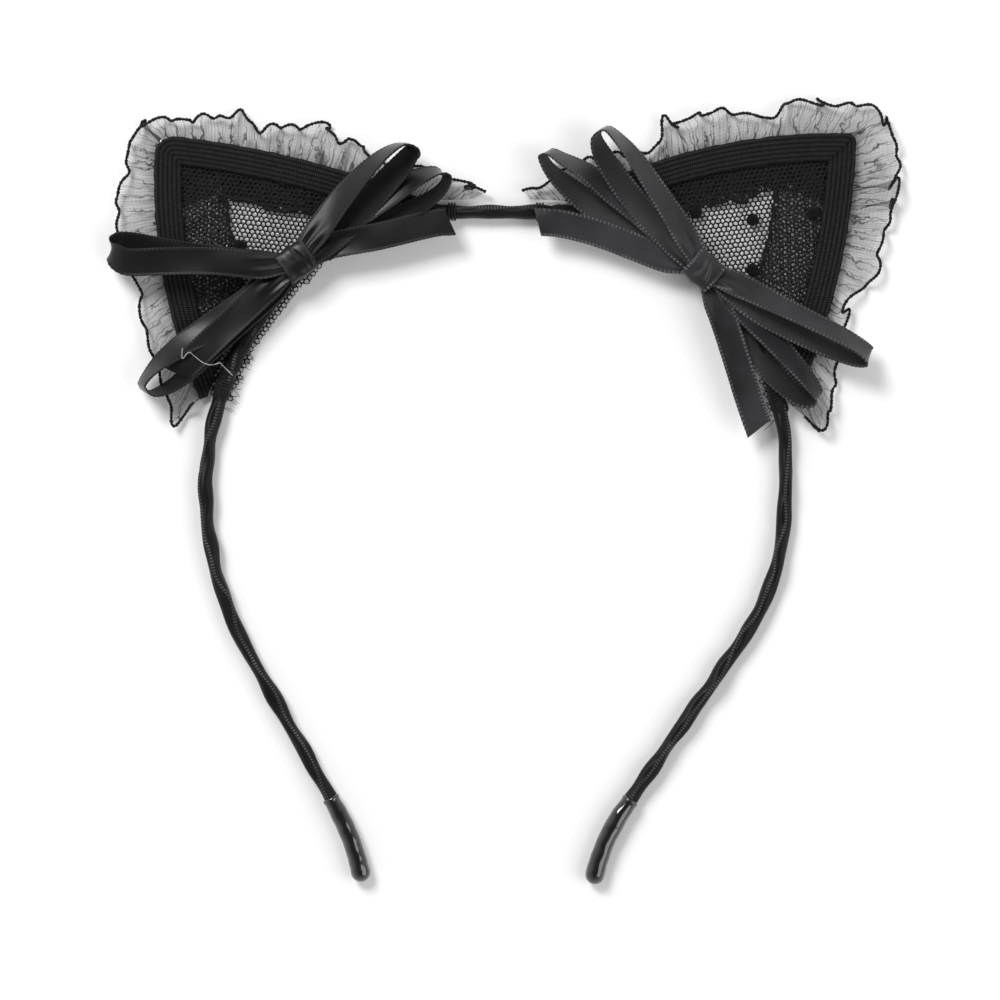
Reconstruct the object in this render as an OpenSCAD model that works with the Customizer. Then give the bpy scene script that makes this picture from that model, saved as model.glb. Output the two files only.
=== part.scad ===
// Cat-ear costume headband lying on its back: a spring-wire hoop wrapped in satin ribbon, two net
// ears on wired braid with organza ruffles, and a satin bow at the foot of each ear.
// Z = 0 is the surface it lies on and +Y points to the tips of the ears.

/* [Band] */
// Diameter of the spring wire inside the band
core_d = 1.8; // [1.2:0.1:2.2]
// Outside diameter of the band over its ribbon wrap
band_d = 3.4; // [3.2:0.1:3.8]
// Largest diameter of the dipped tip caps
cap_d = 4.8; // [4.6:0.1:5.4]
// Length of the tip cap on the left and on the right arm, before its rounded end
cap_lengths = [16.5, 17.3]; // [12:0.1:20]
// Running gap between an arm and the crown of the band
flex_gap = 0.3; // [0.2:0.05:0.4]

/* [Ears] */
// Width of the ribbed braid along the ear's sides
braid_w = 6.6; // [5:0.2:8]
// Thickness of the folded braid casing
casing_t = 2.1; // [2:0.1:2.4]
// Thickness of one layer of braid
braid_t = 0.45; // [0.3:0.05:0.5]
// Diameter of the ear's frame wire
ear_wire_d = 1; // [0.6:0.1:1.1]
// Width of the doubled net inside the braid
facing_w = 11; // [6:1:14]
// Diameter of a flocked dot
dot_d = 2.9; // [2:0.1:4]
// Thickness taken up by the gathered ruffle
ruffle_t = 1.5; // [1:0.1:1.8]
// Diameter of the overlocked cord along the ruffle
edging_d = 1; // [0.8:0.1:1.4]
// Gap between the ear and the band that it swings on
ear_gap = 1.2; // [1:0.1:1.6]

/* [Bows] */
// Width of the satin ribbon
ribbon_w = 6.5; // [5:0.5:8]
// Thickness of the satin ribbon
ribbon_t = 0.35; // [0.2:0.05:0.4]
// Length of the knot wrap along the bow
knot_l = 7; // [5:0.5:8]
// Width of the knot wrap across the bow
knot_w = 7.4; // [6.5:0.1:8]

/* [Hidden] */
$fn = 32;

// Sides are numbered so that one module serves both: the left is the mirror image of a shape drawn
// with +X outward from the middle of the crown.
LEFT = 0;
RIGHT = 1;
crown_at = [-1.9, 66.9];
band_z = cap_d / 2;
arc_step = 5;
sides = 12;

// Each half of the crown, from the middle outward: [radius, angle], or [length, 0] for a straight
crown_bends = [
    [[10.8, 0], [54.8, 50], [73.3, 25]],
    [[10.3, 0], [58.2, 50], [62.1, 29.5]]];
arm_bends = [
    [[73.3, 15], [80, 29.5], [42.6, 0]],
    [[62.1, 12.5], [9.6, 0], [56.4, 33], [49.5, 0]]];
cap_radius = [55, 45];

// Outside line of each ear's braid, as distances outward and upward from the middle of the crown
foot_low = [[71.3, -45], [71.5, -46.6]];
apex = [[82, 18.6], [86.4, 18.8]];
foot_high = [[10.5, 0], [11.3, 0]];
side_rise = [4, 3.4];
top_rise = [3.1, 5.6];
apex_round = 0.3;
leg_steps = 10;

// Free edge of each ruffle, from the lower foot round to the upper foot
ruffle_line = [
    [[73, -46], [77.5, -51], [79, -46], [82.5, -34], [86.5, -21], [90, -7], [91.5, 2.5], [89, 13],
     [86.5, 21], [80, 22.5], [74, 21.5], [70, 23.5], [62, 24.5], [57.5, 20], [40, 20], [38, 16.5],
     [33, 17], [28, 12], [14, 9], [8, 5.5], [3, 4.5]],
    [[73.5, -49], [78.5, -52.5], [80.5, -44.5], [82, -34], [84, -21.5], [90, -17], [94.5, -1],
     [96, 10], [94.5, 20], [88, 25], [79, 26], [70, 26.5], [66, 23.5], [51, 24], [42.5, 21.5],
     [38, 16], [33, 13.5], [21, 12.5], [15.5, 9], [6.5, 5]]];

// Centres of the flocked dots
dots = [[[61.7, -8.2], [51.3, 7.8]], [[47.8, -0.1], [61.4, -1.8], [61.4, -13.8], [75.9, -0.3]]];

// Layers of the ear, counted from the surface it lies on
ear_z = casing_t / 2;
facing_z = [0.5, 0.75];
net_z = [0.85, 1.15];
dot_z = [1.2, 1.5];
ruffle_z = 0.35;
wire_inset = braid_t + 0.1 + ear_wire_d / 2;
net_inset = wire_inset + ear_wire_d / 2 + 0.3;

// Bows: centre outward and upward from the crown, axis of the knot, then [direction, length] pairs
knot_at = [[48, -12.3], [49.2, -14.2]];
knot_turn = [155, -41];
upper_loops = [[[2, 45], [137, 38]], [[-24, 44.5], [126, 42]]];
lower_loops = [[[-39, 46.5], [153, 40]], [[-48, 42.5], [144, 47]]];
tail_ends = [[[-43.5, 38.5], [166, 38]], [[-70.5, 40], [164, 41]]];
bow_z = band_z + band_d / 2 + 0.4;
layer = 0.6;
low_z = bow_z + braid_t + 0.2;
tail_z = low_z + 2 * layer;
high_z = low_z + 3.5 * layer;
knot_h = 4.2;
// Share of its width that a ribbon keeps in the knot, and where it starts and ends to spread
pinch = 0.5;
pinched_to = 4;
free_at = 10;

// Loop profile: [share of the length, height over the layer, share of the way to the upper layer]
loop_profile = [[0.06, 0, 0], [0.4, 0, 0], [0.8, -0.5, 0], [0.96, -0.1, 0], [1, 0.9, 0],
    [0.96, 1.7, 0.2], [0.8, 1.8, 0.6], [0.4, 0.2, 1], [0.06, 0, 1]];
// Tail profile: [share of the length, height over the layer]
tail_profile = [[0.04, 0], [0.3, 0.35], [0.55, 1.5], [0.8, 2.1], [1, 1.7]];

/* Curves and skins */

function reverse(list) = [for (i = [len(list) - 1 : -1 : 0]) list[i]];
function unit(v) = v / norm(v);
function left_of(v) = [-v.y, v.x];

// Stations [x, y, heading] along one bend from station p; a positive radius turns to the right
function bend_stations(bend, p) = bend[1] == 0
    ? [[p.x + bend[0] * cos(p[2]), p.y + bend[0] * sin(p[2]), p[2]]]
    : let (n = ceil(bend[1] / arc_step), r = bend[0], c = [p.x + r * sin(p[2]), p.y - r * cos(p[2])])
        [for (i = [1 : n]) let (h = p[2] - sign(r) * bend[1] * i / n)
            [c.x - r * sin(h), c.y + r * cos(h), h]];
function walk(bends, p, i = 0) = i == len(bends) ? [] :
    let (part = bend_stations(bends[i], p)) concat(part, walk(bends, part[len(part) - 1], i + 1));
function last(list) = list[len(list) - 1];

function half_crown(side) = concat([[0, 0, 0]], walk(crown_bends[side], [0, 0, 0]));
function arm(side) = let (start = last(half_crown(side))) concat([start], walk(arm_bends[side], start));
function cap(side) = let (start = last(arm(side)), r = cap_radius[side])
    walk([[-r, cap_lengths[side] / r * 180 / PI]], start);
function flip(station) = [-station.x, station.y, -station[2]];
crown = concat([for (s = reverse(half_crown(LEFT))) flip(s)], [for (i = [1 : len(half_crown(RIGHT)) - 1])
    half_crown(RIGHT)[i]]);

// Points of an arc from p to q that rises to the left of the straight line between them
function arc_between(p, q, rise, n) = let (
    half = norm(q - p) / 2,
    r = (half * half + rise * rise) / (2 * rise),
    along = unit(q - p),
    out = left_of(along),
    centre = (p + q) / 2 - out * (r - rise),
    sweep = asin(half / r))
    [for (i = [0 : n]) let (a = sweep * (2 * i / n - 1)) centre + r * (out * cos(a) + along * sin(a))];
// A smooth curve through points, with steps parts between each pair
function smooth(points, steps) = [for (i = [0 : len(points) - 2]) let (
    a = points[max(i - 1, 0)],
    b = points[i],
    c = points[i + 1],
    d = points[min(i + 2, len(points) - 1)])
    for (k = [0 : steps - 1]) let (t = k / steps)
        0.5 * (2 * b + (c - a) * t + (2 * a - 5 * b + 4 * c - d) * t * t + (3 * b - a - 3 * c + d) * t ^ 3),
    last(points)];
// A line moved d to its left, with mitred corners
function beside(points, d) = [for (i = [0 : len(points) - 1]) let (
    before = left_of(unit(points[max(i, 1)] - points[max(i, 1) - 1])),
    after = left_of(unit(points[min(i, len(points) - 2) + 1] - points[min(i, len(points) - 2)])))
    points[i] + d * (before + after) / (1 + before * after)];

// The braid's outside line, from the upper foot over a rounded apex to the lower foot
function top_leg(side) = arc_between(foot_high[side], apex[side], top_rise[side], leg_steps);
function low_leg(side) = arc_between(apex[side], foot_low[side], side_rise[side], leg_steps);
function ear_line(side) = let (
    n = leg_steps,
    top = top_leg(side),
    low = low_leg(side),
    tip = top[n],
    before = tip + apex_round * (top[n - 1] - tip),
    after = tip + apex_round * (low[1] - tip))
    concat([for (i = [0 : n - 1]) top[i]], [before, (before + after + tip) / 3, after],
        [for (i = [1 : n]) low[i]]);

// Skin over rings of equal length, closed into a loop or shut by a strip across each end
module skin(rings, loop = false) {
    m = len(rings[0]);
    n = len(rings);
    function at(i, j) = (i % n) * m + (j % m);
    walls = [for (i = [0 : loop ? n - 1 : n - 2]) for (j = [0 : m - 1])
        each [[at(i, j), at(i + 1, j), at(i, j + 1)], [at(i, j + 1), at(i + 1, j), at(i + 1, j + 1)]]];
    function shut(i) = [for (j = [0 : m / 2 - 1]) each concat(
        j + 1 < m / 2 ? [[at(i, j), at(i, j + 1), at(i, m - 1 - j)]] : [],
        j > 0 ? [[at(i, j), at(i, m - 1 - j), at(i, m - j)]] : [])];
    function turned(faces) = [for (f = faces) [f[0], f[2], f[1]]];
    ends = loop ? [] : concat(shut(0), turned(shut(n - 1)));
    polyhedron([for (ring = rings) each ring], concat(walls, ends), convexity = 8);
}

// Ring round a station; a cup moves each point along the path onto a cylinder across it
function ring(s, z, r, cup = 0, count = sides) = [for (k = [0 : count - 1]) let (a = 360 * k / count,
    u = r * cos(a), shift = cup == 0 ? 0 : sign(cup) * sqrt(cup * cup - u * u))
    [s.x - u * sin(s[2]) + shift * cos(s[2]), s.y + u * cos(s[2]) + shift * sin(s[2]), z + r * sin(a)]];
function rings(path, r, cups, count = sides) = [for (i = [0 : len(path) - 1])
    ring(path[i], band_z, r, i == 0 ? cups[0] : i == len(path) - 1 ? cups[1] : 0, count)];

module rod(path, d, cups = [0, 0]) { skin(rings(path, d / 2, cups)); }
module hollow_rod(path, d_out, d_in, cups = [0, 0]) {
    skin(concat(rings(path, d_out / 2, cups), reverse(rings(path, d_in / 2, cups))), loop = true);
}
// Round bar along a flat line at height z
module bar(line, z, d, count = 8) {
    n = len(line);
    skin([for (i = [0 : n - 1]) let (t = line[min(i + 1, n - 1)] - line[max(i - 1, 0)])
        ring([line[i].x, line[i].y, atan2(t.y, t.x)], z, d / 2, 0, count)]);
}
module at_side(side) {
    translate(crown_at) mirror([side == LEFT ? 1 : 0, 0, 0]) children();
}

/* Band */

knuckle = band_d / 2;
socket = knuckle + flex_gap;
wrap_d = core_d + 0.1;

module crown_core() { color("silver") translate(crown_at) rod(crown, core_d, [socket, -socket]); }
module crown_wrap() {
    color("dimgray") translate(crown_at) hollow_rod(crown, band_d, wrap_d, [socket, -socket]);
}
module arm_core(side) {
    color("silver") at_side(side) rod(concat(arm(side), core_in_cap(side)), core_d, [-knuckle, 0]);
}
module arm_wrap(side) {
    color("dimgray") at_side(side) hollow_rod(arm(side), band_d, wrap_d, [-knuckle, 0]);
}
// The wire ends inside the cap, short of its tip
function core_in_cap(side) = let (path = cap(side)) [for (i = [0 : floor(0.7 * len(path)) - 1]) path[i]];
function back(s, d) = [s.x - d * cos(s[2]), s.y - d * sin(s[2]), s[2]];

// Dipped cap: its mouth grips the end of the wrap and it swells to a rounded tip
module tip_cap(side) {
    grip = 3;
    slack = 0.05;
    lip = 0.82;
    path = concat([last(arm(side))], cap(side));
    n = len(path) - 1;
    core_steps = len(core_in_cap(side));
    function width(t) = cap_d / 2 * (0.86 + 0.14 * sin(90 * min(t * 1.6, 1)));
    function inner(s, d) = ring(s, band_z, d / 2 + slack);
    shoulder = back(path[0], -0.3);
    mouth = back(path[0], grip);
    core_hole = concat([for (i = [core_steps : -1 : 1]) inner(path[i], core_d)], [inner(shoulder, core_d)]);
    wrap_hole = [inner(shoulder, band_d), inner(mouth, band_d)];
    outside = concat([ring(mouth, band_z, cap_d / 2 * lip)],
        [for (i = [0 : n]) ring(path[i], band_z, width(i / n))]);
    end = [for (a = [22.5, 45, 67.5, 84]) ring(back(path[n], -cap_d / 2 * sin(a)), band_z, cap_d / 2 * cos(a))];
    color("black") at_side(side) skin(concat(core_hole, wrap_hole, outside, end));
}

// Rings of thread round the band, side by side at a station of the crown
module thread_rings(s, count) {
    thread = 0.5;
    translate([s.x, s.y, band_z]) rotate([0, 0, s[2]]) for (i = [0 : count - 1])
        translate([(i - (count - 1) / 2) * thread * 1.4, 0, 0]) rotate([0, 90, 0])
            rotate_extrude() translate([band_d / 2 + 0.05 + thread / 2, 0]) circle(d = thread, $fn = 16);
}
module foot_lashings(side) {
    path = half_crown(side);
    color("black") at_side(side) {
        thread_rings(path[1], 3);
        thread_rings(path[len(path) - 2], 3);
    }
}
module bow_stitches(side) { color("black") at_side(side) thread_rings(half_crown(side)[7], 4); }

/* Ears */

// Everything on the head's side of the band, with room for the ear to swing
module head_side(side) {
    path = half_crown(side);
    low = last(path);
    line = [for (s = path) [s.x, s.y] + (band_d / 2 + ear_gap) * [-sin(s[2]), cos(s[2])]];
    beyond = last(line) + 40 * [cos(low[2]), sin(low[2])];
    plate(concat([[-30, line[0].y]], line, [beyond, [-30, beyond.y]]), -5, 15);
}
module plate(points, z_low, z_high) {
    translate([0, 0, z_low]) linear_extrude(z_high - z_low) polygon(points);
}
// Everything more than d inside both legs of the ear
module inside_ear(side, d) {
    module inside_leg(leg, away) {
        line = beside(leg, -d);
        n = len(line);
        start = line[0] - 40 * unit(line[1] - line[0]);
        end = line[n - 1] + 40 * unit(line[n - 1] - line[n - 2]);
        plate(concat([start], line, [end, end + away, start + away]), -5, 15);
    }
    intersection() {
        inside_leg(top_leg(side), [0, -150]);
        inside_leg(low_leg(side), [-150, 0]);
    }
}

module ear_wire(side) {
    line = beside(ear_line(side), -wire_inset);
    color("silver") at_side(side) difference() {
        bar(line, ear_z, ear_wire_d);
        head_side(side);
    }
}
module ear_braid(side) {
    line = ear_line(side);
    color("black") at_side(side) difference() {
        plate(line, 0, casing_t);
        plate(beside(line, -braid_t), braid_t, casing_t - braid_t);
        inside_ear(side, braid_w);
        head_side(side);
    }
}
module ear_net(side) {
    color("dimgray") at_side(side) difference() {
        plate(beside(ear_line(side), -net_inset), net_z[0], net_z[1]);
        head_side(side);
    }
}
module net_facing(side) {
    color("black") at_side(side) difference() {
        plate(beside(ear_line(side), -net_inset), facing_z[0], facing_z[1]);
        inside_ear(side, braid_w + facing_w);
        head_side(side);
    }
}
module net_dots(side) {
    color("black") at_side(side) for (p = dots[side])
        translate([p.x, p.y, dot_z[0]]) cylinder(d = dot_d, h = dot_z[1] - dot_z[0]);
}
function ruffle_edge(side) = smooth(ruffle_line[side], 3);
module ruffle(side) {
    inner = beside(ear_line(side), 0.1);
    color("gray", 0.5) at_side(side) difference() {
        plate(concat(ruffle_edge(side), inner), ruffle_z, ruffle_z + ruffle_t);
        head_side(side);
    }
}
module ruffle_edging(side) {
    line = beside(ruffle_edge(side), -edging_d / 2 - 0.1);
    color("black") at_side(side) bar(line, ruffle_z + ruffle_t / 2, edging_d, 6);
}

/* Bows */

// Flat ribbon through stations [x, y, z, heading], pinched where the knot holds it
module ribbon(stations) {
    path = smooth(stations, 3);
    count = len(path);
    function place(p) = [p.x, p.y, p.z];
    function spread(d) = pinch + (1 - pinch) * max(0, min((d - pinched_to) / (free_at - pinched_to), 1));
    skin([for (i = [0 : count - 1]) let (
        p = path[i],
        along = place(path[min(i + 1, count - 1)]) - place(path[max(i - 1, 0)]),
        across = [-sin(p[3]), cos(p[3]), 0] * ribbon_w / 2 * spread(norm([p.x, p.y])),
        up = unit(cross(along, across)) * ribbon_t / 2)
        [for (c = [[1, -1], [1, 1], [-1, 1], [-1, -1]]) place(p) + c[0] * across + c[1] * up]]);
}
module at_knot(side) { at_side(side) translate(knot_at[side]) children(); }

// One ribbon out and back along the first [direction, length], then along the second.
// It leaves the knot along the knot's own axis and turns to its direction once it is clear.
module pair(side, ends, profile, base) {
    clear = 7;
    function axis(a) = knot_turn[side] + 180 * round((a - knot_turn[side]) / 180);
    function station(s, end, turn) = let (
        d = s[0] * end[1],
        a = axis(end[0]) + (end[0] - axis(end[0])) * min(d / clear, 1),
        rise = len(s) > 2 ? s[2] * layer : 0)
        [d * cos(a), d * sin(a), base + s[1] + rise, end[0] - turn];
    color("black") at_knot(side) ribbon(concat(
        [for (s = reverse(profile)) station(s, ends[0], 0)],
        [for (s = profile) station(s, ends[1], 180)]));
}
module bow_lower_loops(side) { pair(side, lower_loops[side], loop_profile, low_z); }
module bow_tails(side) { pair(side, tail_ends[side], tail_profile, tail_z); }
module bow_upper_loops(side) { pair(side, upper_loops[side], loop_profile, high_z); }
module rounded_rect(w, h, r) {
    square([w - 2 * r, h], center = true);
    square([w, h - 2 * r], center = true);
    for (x = [-1, 1], y = [-1, 1]) translate([x * (w / 2 - r), y * (h / 2 - r)]) circle(r);
}
module bow_knot(side) {
    color("black") at_knot(side) translate([0, 0, bow_z + knot_h / 2]) rotate([90, 0, knot_turn[side] + 90])
        translate([0, 0, -knot_l / 2]) linear_extrude(knot_l) difference() {
            rounded_rect(knot_w, knot_h, 1);
            rounded_rect(knot_w - 2 * braid_t, knot_h - 2 * braid_t, 0.6);
        }
}

crown_core();
crown_wrap();
foot_lashings(LEFT);  // left_foot_lashings
foot_lashings(RIGHT);  // right_foot_lashings
bow_stitches(LEFT);  // left_bow_stitches
bow_stitches(RIGHT);  // right_bow_stitches
arm_core(LEFT);  // left_arm_core
arm_wrap(LEFT);  // left_arm_wrap
tip_cap(LEFT);  // left_tip_cap
arm_core(RIGHT);  // right_arm_core
arm_wrap(RIGHT);  // right_arm_wrap
tip_cap(RIGHT);  // right_tip_cap
ear_wire(LEFT);  // left_ear_wire
ear_braid(LEFT);  // left_ear_braid
ear_net(LEFT);  // left_ear_net
net_facing(LEFT);  // left_net_facing
net_dots(LEFT);  // left_net_dots
ruffle(LEFT);  // left_ruffle
ruffle_edging(LEFT);  // left_ruffle_edging
bow_lower_loops(LEFT);  // left_bow_lower_loops
bow_tails(LEFT);  // left_bow_tails
bow_upper_loops(LEFT);  // left_bow_upper_loops
bow_knot(LEFT);  // left_bow_knot
ear_wire(RIGHT);  // right_ear_wire
ear_braid(RIGHT);  // right_ear_braid
ear_net(RIGHT);  // right_ear_net
net_facing(RIGHT);  // right_net_facing
net_dots(RIGHT);  // right_net_dots
ruffle(RIGHT);  // right_ruffle
ruffle_edging(RIGHT);  // right_ruffle_edging
bow_lower_loops(RIGHT);  // right_bow_lower_loops
bow_tails(RIGHT);  // right_bow_tails
bow_upper_loops(RIGHT);  // right_bow_upper_loops
bow_knot(RIGHT);  // right_bow_knot
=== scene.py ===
import math

import bpy
import numpy as np
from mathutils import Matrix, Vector


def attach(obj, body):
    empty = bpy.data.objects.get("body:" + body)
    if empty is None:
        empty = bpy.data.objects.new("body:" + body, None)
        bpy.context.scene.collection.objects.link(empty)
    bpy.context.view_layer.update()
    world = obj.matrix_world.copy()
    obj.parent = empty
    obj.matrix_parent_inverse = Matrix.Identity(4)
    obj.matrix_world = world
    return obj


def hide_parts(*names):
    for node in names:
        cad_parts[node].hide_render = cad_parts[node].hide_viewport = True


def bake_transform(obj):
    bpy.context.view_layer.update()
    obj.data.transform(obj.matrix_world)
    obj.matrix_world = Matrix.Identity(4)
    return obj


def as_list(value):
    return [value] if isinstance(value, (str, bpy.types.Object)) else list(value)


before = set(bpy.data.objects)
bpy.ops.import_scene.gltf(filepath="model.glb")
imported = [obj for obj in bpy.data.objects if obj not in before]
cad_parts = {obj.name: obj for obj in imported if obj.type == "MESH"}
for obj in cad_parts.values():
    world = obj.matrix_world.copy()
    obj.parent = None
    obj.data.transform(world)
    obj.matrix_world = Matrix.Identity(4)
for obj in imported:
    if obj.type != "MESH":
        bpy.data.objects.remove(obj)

MM = 0.001
TAU = 2 * math.pi
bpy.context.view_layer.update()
LEFT, RIGHT = 0, 1
SIDES = ("left", "right")
CROWN_AT = np.array([-1.9, 66.9])
BAND_Z = 2.4
BAND_R = 1.7
RIBBON_W = 6.5
# How far from the band's line the braid and the ruffle start, so that they clear it when the ear tilts
BAND_CLEAR = BAND_R + 1.3
# Pitch of the stitched beads along a bow ribbon's edges and along the wrap's
BEAD_PITCH, WRAP_BEAD_PITCH = 0.95, 0.74
# What is added to the UV x of a cloth's back, so that one material can tell its faces apart
BACK = 20


def link(obj):
    bpy.context.scene.collection.objects.link(obj)
    return obj


# ---------------------------------------------------------------- camera

def make_camera():
    """Straight down from 0.9 m, framing a field 240 mm wide."""
    data = bpy.data.cameras.new("camera")
    data.lens, data.sensor_width = 135, 36
    data.clip_end = 10
    obj = link(bpy.data.objects.new("camera", data))
    obj.location = (-0.00118, -0.00229, 0.9024)
    bpy.context.scene.camera = obj


make_camera()


# ---------------------------------------------------------------- curves

def unit(v):
    return v / np.maximum(np.linalg.norm(v, axis=-1, keepdims=True), 1e-9)


def left_of(v):
    return np.stack([-v[..., 1], v[..., 0]], -1)


def wobble(seed, wave, count=7):
    """A smooth random function of one or two coordinates, about -1 to 1, that changes over wave."""
    pick = np.random.default_rng(seed)
    k = pick.uniform(0.5, 1.6, (count, 2)) * TAU / wave * pick.choice([-1, 1], (count, 2))
    phase = pick.uniform(0, TAU, count)

    def value(x, y=0.0):
        total = sum(np.sin(a * x + b * y + p) for (a, b), p in zip(k, phase))
        return total / math.sqrt(count)
    return value


def smooth_step(x):
    x = np.clip(x, 0, 1)
    return x * x * (3 - 2 * x)


def lengths(points):
    """Distance along the line at each of its points."""
    return np.concatenate([[0], np.cumsum(np.linalg.norm(np.diff(points, axis=0), axis=1))])


def catmull(points, steps):
    """A smooth curve through the rows of points."""
    p = np.asarray(points, float)
    p = np.vstack([2 * p[0] - p[1], p, 2 * p[-1] - p[-2]])
    t = np.arange(steps)[:, None] / steps
    out = []
    for a, b, c, d in zip(p, p[1:], p[2:], p[3:]):
        out.append(0.5 * (2 * b + (c - a) * t + (2 * a - 5 * b + 4 * c - d) * t ** 2
                          + (3 * b - a - 3 * c + d) * t ** 3))
    return np.vstack(out + [p[-2:-1]])


def places(points, s, at):
    """Where a line is at each of the distances at, when its points lie at the distances s."""
    return np.stack([np.interp(at, s, points[:, k]) for k in range(points.shape[1])], -1)


def spaced(points, step):
    """The same line with its points step apart."""
    s = lengths(points[:, :3])
    return places(points, s, np.linspace(0, s[-1], max(2, int(round(s[-1] / step)) + 1)))


def tangents(points):
    return unit(np.gradient(points, axis=0))


def arc_between(p, q, rise, n):
    p, q = np.array(p, float), np.array(q, float)
    half = np.linalg.norm(q - p) / 2
    r = (half * half + rise * rise) / (2 * rise)
    along = unit(q - p)
    out = left_of(along)
    centre = (p + q) / 2 - out * (r - rise)
    a = math.asin(half / r) * np.linspace(-1, 1, n + 1)[:, None]
    return centre + r * (out * np.cos(a) + along * np.sin(a))


WALK_STEP = 0.25


def walk(bends, start):
    """Stations [x, y, heading in radians] along bends of [radius, degrees] or [length, 0]."""
    x, y, h = start
    out = []
    for r, angle in bends:
        if angle == 0:
            n = math.ceil(r / WALK_STEP)
            out += [[x + r * i / n * math.cos(h), y + r * i / n * math.sin(h), h] for i in range(1, n + 1)]
        else:
            turn = math.radians(angle)
            n = math.ceil(abs(r) * turn / WALK_STEP)
            cx, cy = x + r * math.sin(h), y - r * math.cos(h)
            for i in range(1, n + 1):
                g = h - math.copysign(turn, r) * i / n
                out.append([cx - r * math.sin(g), cy + r * math.cos(g), g])
        x, y, h = out[-1]
    return out


def to_frame(side, uv):
    """From distances outward and upward from the middle of the crown to the frame, in mm."""
    sign = -1 if side == LEFT else 1
    uv = np.asarray(uv, float)
    return np.stack([CROWN_AT[0] + sign * uv[..., 0], CROWN_AT[1] + uv[..., 1]], -1)


# Bends of the band's centreline from the middle of the crown, as [radius, degrees] or [length, 0]
CROWN_BENDS = [[[10.8, 0], [54.8, 50], [73.3, 25]], [[10.3, 0], [58.2, 50], [62.1, 29.5]]]
ARM_BENDS = [[[73.3, 15], [80, 29.5], [42.6, 0]], [[62.1, 12.5], [9.6, 0], [56.4, 33], [49.5, 0]]]
# Radius and length of each cap's bend, and how far the cap reaches over the wrap
CAP_RADIUS, CAP_LENGTHS, CAP_GRIP = [55, 45], [16.5, 17.3], 3
# Feet and apex of each ear, and how far its two outer sides bulge
FOOT_LOW, APEX, FOOT_HIGH = [[71.3, -45], [71.5, -46.6]], [[82, 18.6], [86.4, 18.8]], [[10.5, 0], [11.3, 0]]
SIDE_RISE, TOP_RISE = [4, 3.4], [3.1, 5.6]
BRAID_W, BRAID_CORDS, CASING_T = 6.6, 6, 2.1
WIDE_STEPS = 120

CROWN = [np.array([[0, 0, 0]] + walk(b, (0, 0, 0))) for b in CROWN_BENDS]
ARM = [np.array([list(CROWN[i][-1])] + walk(ARM_BENDS[i], CROWN[i][-1])) for i in (0, 1)]
CAP = [np.array([list(ARM[i][-1])] + walk([[-CAP_RADIUS[i], math.degrees(CAP_LENGTHS[i] / CAP_RADIUS[i])]],
                                         ARM[i][-1])) for i in (0, 1)]
TOP_LEG = [arc_between(FOOT_HIGH[i], APEX[i], TOP_RISE[i], WIDE_STEPS) for i in (0, 1)]
LOW_LEG = [arc_between(APEX[i], FOOT_LOW[i], SIDE_RISE[i], WIDE_STEPS) for i in (0, 1)]


def beside(points, d):
    """A flat line moved d to its left."""
    return points + d * left_of(tangents(points))


def inside(points, polygon):
    """Which of the points lie in the polygon."""
    x, y = points[:, 0], points[:, 1]
    hit = np.zeros(len(points), bool)
    for (x0, y0), (x1, y1) in zip(polygon, np.roll(polygon, -1, axis=0)):
        if y0 != y1:
            hit ^= ((y0 > y) != (y1 > y)) & (x < (x1 - x0) * (y - y0) / (y1 - y0) + x0)
    return hit


def from_line(points, line):
    """How far the points lie to the left of a flat line, and how far along it."""
    coarse = line[::4]
    t = tangents(coarse)
    s = lengths(line)[::4]
    away = points[:, None, :] - coarse[None]
    near = np.argmin((away ** 2).sum(-1), axis=1)
    rows = np.arange(len(points))
    return (away[rows, near] * left_of(t)[near]).sum(-1), s[near] + (away[rows, near] * t[near]).sum(-1)


# ---------------------------------------------------------------- meshes

def make_piece(name, verts, faces, material, uv=None, body=None):
    """A mesh piece from points in mm and faces of equal length, with one UV row for each face corner."""
    faces = np.asarray(faces)
    n, k = faces.shape
    mesh = bpy.data.meshes.new(name)
    mesh.vertices.add(len(verts))
    mesh.vertices.foreach_set("co", (np.asarray(verts, float) * MM).ravel())
    mesh.loops.add(n * k)
    mesh.loops.foreach_set("vertex_index", faces.ravel().astype(np.int32))
    mesh.polygons.add(n)
    mesh.polygons.foreach_set("loop_start", np.arange(0, n * k, k, dtype=np.int32))
    mesh.polygons.foreach_set("use_smooth", np.full(n, True))
    if uv is not None:
        mesh.uv_layers.new(name="UVMap").data.foreach_set("uv", np.asarray(uv, float).reshape(-1))
    mesh.update(calc_edges=True)
    mesh.validate()
    mesh.materials.append(material)
    obj = link(bpy.data.objects.new(name, mesh))
    if body:
        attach(obj, body)
    return obj


def lattice(n, m, close_n=False, close_m=False):
    """Faces of an n by m grid of points and, for each of their corners, its row and column."""
    i, j = np.meshgrid(np.arange(n if close_n else n - 1), np.arange(m if close_m else m - 1), indexing="ij")
    i, j = i.ravel(), j.ravel()
    rows = np.stack([i, i + 1, i + 1, i], -1)
    cols = np.stack([j, j, j + 1, j + 1], -1)
    return (rows % n) * m + cols % m, rows, cols


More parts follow.
